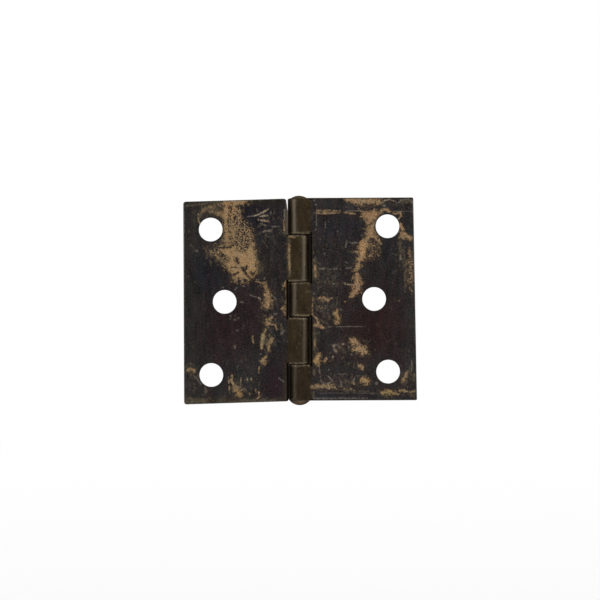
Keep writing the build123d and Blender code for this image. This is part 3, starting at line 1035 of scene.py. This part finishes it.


# Points that carry the grime and painted shade of each leaf, as (height, size, whether it is a flat ring in
# a gap)
def grimeShadePoints():
    onFrame, onDoor = [], []
    for doorEnd in knuckleEnds("door_leaf"):
        frameEnd = min(knuckleEnds("frame_leaf"), key=lambda height: abs(height - doorEnd))
        thick = abs(frameEnd - doorEnd) - 2 * grimeShade["clear"]
        downward = 1 if doorEnd < frameEnd else -1
        onFrame.append(((frameEnd + doorEnd) / 2, thick, True))
        onFrame.append((frameEnd, -downward, False))
        onDoor.append((doorEnd, downward, False))
    return onFrame, onDoor


# A flat ring to each gap point, as thick as the gap, and a fillet ring to each rim point: dark grime and
# painted shade that close the gaps between knuckles and dull their rims
def grimeShadeTree(material):
    tree = bpy.data.node_groups.new("grimeShadeRings", "GeometryNodeTree")
    sockets = tree.interface
    sockets.new_socket("Geometry", in_out="INPUT", socket_type="NodeSocketGeometry")
    for label in ("Outer Radius", "Inner Radius", "Fillet", "Lumps"):
        sockets.new_socket(label, in_out="INPUT", socket_type="NodeSocketFloat")
    sockets.new_socket("Geometry", in_out="OUTPUT", socket_type="NodeSocketGeometry")
    given = tree.nodes.new("NodeGroupInput").outputs
    out = tree.nodes.new("NodeGroupOutput").inputs

    def made(kind, inputs=None, **settings):
        return addNode(tree, kind, inputs, **settings).outputs[0]

    def corner(across, up):
        return made("ShaderNodeCombineXYZ", {0: across, 1: up})

    # sections are drawn as (radius, depth below the point) and swept round the pin on a tiny path
    def swept(corners):
        inputs = {f"Point {number + 1}": spot for number, spot in enumerate(corners)}
        section = made("GeometryNodeCurvePrimitiveQuadrilateral", inputs, mode="POINTS")
        path = made("GeometryNodeCurvePrimitiveCircle", {"Resolution": grimeShade["sides"], "Radius": 0.001 * mm})
        return made("GeometryNodeCurveToMesh", {"Curve": path, "Profile Curve": section})

    outer, inner, fillet = given["Outer Radius"], given["Inner Radius"], given["Fillet"]
    foot = doMath(tree, "SUBTRACT", outer, fillet)
    tip = doMath(tree, "MULTIPLY", fillet, grimeShade["tip"])
    high = 0.5 * mm  # rings are 1 mm thick before they are scaled
    ring = swept([corner(inner, -high), corner(outer, -high), corner(outer, high), corner(inner, high)])
    rim = swept([corner(foot, 0.0), corner(outer, 0.0), corner(outer, fillet), corner(foot, tip)])
    size = made("GeometryNodeInputNamedAttribute", {"Name": "size"}, data_type="FLOAT")
    inGap = made("GeometryNodeInputNamedAttribute", {"Name": "inGap"}, data_type="BOOLEAN")
    onRim = made("FunctionNodeBooleanMath", {0: inGap}, operation="NOT")
    scale = made("ShaderNodeCombineXYZ", {0: 1.0, 1: 1.0, 2: size})
    joined = tree.nodes.new("GeometryNodeJoinGeometry")
    for shape, chosen in ((ring, inGap), (rim, onRim)):
        inputs = {"Points": given["Geometry"], "Selection": chosen, "Instance": shape, "Scale": scale}
        tree.links.new(made("GeometryNodeInstanceOnPoints", inputs), joined.inputs[0])
    whole = made("GeometryNodeRealizeInstances", {0: joined.outputs[0]})
    spot = made("GeometryNodeInputPosition")
    lump = addNoise(tree, spot, grimeShade["lumpNoise"] / mm)
    outward = made("ShaderNodeVectorMath", {0: stretched(tree, spot, (1, 1, 0))}, operation="NORMALIZE")
    depth = doMath(tree, "MULTIPLY", doMath(tree, "MULTIPLY", lump, given["Lumps"]), -1)
    shift = scaled(tree, outward, depth)
    moved = made("GeometryNodeSetPosition", {"Geometry": whole, "Offset": shift})
    tree.links.new(made("GeometryNodeSetMaterial", {"Geometry": moved, "Material": material}), out[0])
    return tree


def grimeShadeRings(name, points, tree, material):
    heights, sizes, inGap = zip(*points)
    mesh = bpy.data.meshes.new("gapPoints")
    mesh.from_pydata([(0, 0, height * mm) for height in heights], [], [])
    storeValue(mesh, "size", np.array(sizes))
    mesh.attributes.new("inGap", "BOOLEAN", "POINT").data.foreach_set("value", inGap)
    maker = addObject("gapPoints", mesh)
    modifier = maker.modifiers.new("grimeShadeRings", "NODES")
    modifier.node_group = tree
    values = {
        "Outer Radius": barrelRadius - grimeShade["outside"],
        "Inner Radius": grimeShade["inside"],
        "Fillet": grimeShade["blunt"] - grimeShade["outside"] - grimeShade["clear"],
        "Lumps": grimeShade["lumps"],
    }
    for item in tree.interface.items_tree:
        if item.name in values:
            modifier[item.identifier] = values[item.name] * mm
    evaluated = maker.evaluated_get(bpy.context.evaluated_depsgraph_get())
    bm = bmesh.new()
    bm.from_mesh(bpy.data.meshes.new_from_object(evaluated))
    bpy.data.objects.remove(maker)
    bmesh.ops.recalc_face_normals(bm, faces=bm.faces)
    return finishMesh(bm, name, material)


leafPatina = leafMaterial()
pinPatina = pinMaterial()
frameLeaf = finishedLeaf("frame_leaf", frameWear, leafPatina)
doorLeaf = finishedLeaf("door_leaf", doorWear, leafPatina)
hingePin = finishedPin("hinge_pin", pinPatina)
knuckleGrimeShade = grimeShadeMaterial()
ringTree = grimeShadeTree(knuckleGrimeShade)
framePoints, doorPoints = grimeShadePoints()
frameGrimeShade = grimeShadeRings("frame_grime_shade", framePoints, ringTree, knuckleGrimeShade)
doorGrimeShade = grimeShadeRings("door_grime_shade", doorPoints, ringTree, knuckleGrimeShade)

for piece, node, body, slot in [
    (frameLeaf, "frame_leaf", "frame_side", "leaf_patina"),
    (doorLeaf, "door_leaf", "door_side", "leaf_patina"),
    (hingePin, "hinge_pin", "frame_side", "pin_patina"),
]:
    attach(piece, body)
    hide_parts(node)
for piece, body in [(frameGrimeShade, "frame_side"), (doorGrimeShade, "door_side")]:
    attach(piece, body)
print("pieces ride on their bodies")

studio = {
    "floorBelow": 0.17,  # metres, below the pin's middle
    "wallBehind": 0.22,
    "bend": 0.12,  # radius where the floor turns up into the wall
    "bendTurns": 16,
    "halfWidth": 1.2,
    "front": -1.2,
    "top": 1.2,
    "white": (0.9, 0.9, 0.9, 1),
    "floorShare": 0.75,  # how much of the floor's white comes without its shadows; the wall has none
    "roomGrey": (0.32, 0.32, 0.32, 1),
    "lampSide": 50,  # degrees off the camera's line, left and right
    "lampLift": 14,
    "lampAway": 0.62,
    "lampSize": 0.34,
    "lampPower": 1.7,
    "cardGrey": (0.06, 0.06, 0.06, 1),
    "cards": {  # middle, turn about Z in degrees, and width
        "frontCard": ((0, -0.75, 0), 0, 1.7),
        "backCard": ((0, 0.045, 0), 0, 0.4),
        "leftCard": ((-0.8, -0.3, 0), 90, 1.0),
        "rightCard": ((0.8, -0.3, 0), 90, 1.0),
    },
    "clip": 0.01,  # metres from the camera, the nearest that it sees
}


def seesBackground(tree):
    path = addNode(tree, "ShaderNodeLightPath").outputs
    seen = doMath(tree, "MAXIMUM", path["Is Camera Ray"], path["Is Glossy Ray"])
    return doMath(tree, "MAXIMUM", seen, path["Is Transmission Ray"])


def sweepMaterial():
    material, tree = newMaterial("paleSweep")
    paper = addNode(tree, "ShaderNodeBsdfDiffuse", {"Color": studio["white"]})
    glow = addNode(tree, "ShaderNodeEmission", {"Color": (1, 1, 1, 1), "Strength": 1.0})
    here = addNode(tree, "ShaderNodeTexCoord").outputs["Object"]
    height = addNode(tree, "ShaderNodeSeparateXYZ", {0: here}).outputs[2]
    floor = -studio["floorBelow"]
    clear = ramp(tree, height, floor, floor + studio["bend"], studio["floorShare"], 1.0)
    share = doMath(tree, "MULTIPLY", seesBackground(tree), clear)
    addShader(tree, "ShaderNodeMixShader", {0: share, 1: paper.outputs[0], 2: glow.outputs[0]})
    return material


def makeSweep():
    bend = studio["bend"]
    wall = studio["wallBehind"]
    floor = -studio["floorBelow"]
    turns = studio["bendTurns"]
    profile = [(studio["front"], floor)]
    for number in range(turns + 1):
        angle = math.pi / 2 * number / turns
        profile.append((wall - bend + bend * math.sin(angle), floor + bend - bend * math.cos(angle)))
    profile.append((wall, studio["top"]))
    bm = bmesh.new()
    rowsMade = []
    for y, z in profile:
        rowsMade.append([bm.verts.new((side * studio["halfWidth"], y, z)) for side in (-1, 1)])
    for (a, b), (c, d) in zip(rowsMade, rowsMade[1:]):
        bm.faces.new((a, b, d, c))
    sweep = meshObject("sweep", bm, sweepMaterial())
    sweep.data.shade_smooth()


# Dim cards that only reflections see: the flat faces and the barrel's flanks mirror them, not the white room
def makeCards():
    material, tree = newMaterial("dimCard")
    addShader(tree, "ShaderNodeEmission", {"Color": studio["cardGrey"], "Strength": 1.0})
    for name, (middle, turn, wide) in studio["cards"].items():
        half = wide / 2
        place = Matrix.Translation(middle) @ Matrix.Rotation(math.radians(turn), 4, "Z")
        bm = bmesh.new()
        corners = [(-half, -half), (half, -half), (half, half), (-half, half)]
        bm.faces.new([bm.verts.new(place @ Vector((x, 0, z))) for x, z in corners])
        card = meshObject(name, bm, material)
        card.visible_camera = False
        card.visible_diffuse = False
        card.visible_shadow = False


def makeRoom():
    world = bpy.data.worlds.new("studioRoom")
    bpy.context.scene.world = world
    world.use_nodes = True
    tree = world.node_tree
    tree.nodes.clear()
    dim = addNode(tree, "ShaderNodeBackground", {"Color": studio["roomGrey"], "Strength": 1.0})
    white = addNode(tree, "ShaderNodeBackground", {"Color": (1, 1, 1, 1), "Strength": 1.0})
    inputs = {0: seesBackground(tree), 1: dim.outputs[0], 2: white.outputs[0]}
    mixed = addNode(tree, "ShaderNodeMixShader", inputs)
    addNode(tree, "ShaderNodeOutputWorld", {0: mixed.outputs[0]})


def makeLamps():
    lift = math.radians(studio["lampLift"])
    for name, side in [("lampLeft", -1), ("lampRight", 1)]:
        turn = math.radians(studio["lampSide"]) * side
        ahead = Vector((math.sin(turn) * math.cos(lift), -math.cos(turn) * math.cos(lift), math.sin(lift)))
        data = bpy.data.lights.new(name, "AREA")
        data.shape = "DISK"
        data.size = studio["lampSize"]
        data.energy = studio["lampPower"]
        lamp = addObject(name, data)
        lamp.location = ahead * studio["lampAway"]
        lamp.rotation_mode = "QUATERNION"
        lamp.rotation_quaternion = (-ahead).to_track_quat("-Z", "Y")


def makeCamera():
    middle = picture["size"] / 2
    x, z = pictureToMm(middle, middle)
    data = bpy.data.cameras.new("camera")
    data.sensor_width = picture["sensor"]
    data.lens = data.sensor_width * picture["distance"] / (picture["size"] * picture["pixel"])
    data.clip_start = studio["clip"]
    camera = addObject("camera", data)
    camera.location = Vector((x, -barrelRadius - picture["distance"], z)) * mm
    camera.rotation_euler = (math.pi / 2, picture["turn"], 0)
    bpy.context.scene.camera = camera


makeSweep()
makeCards()
makeRoom()
makeLamps()
makeCamera()
bpy.context.scene.view_settings.view_transform = "Standard"
print("studio and camera made")
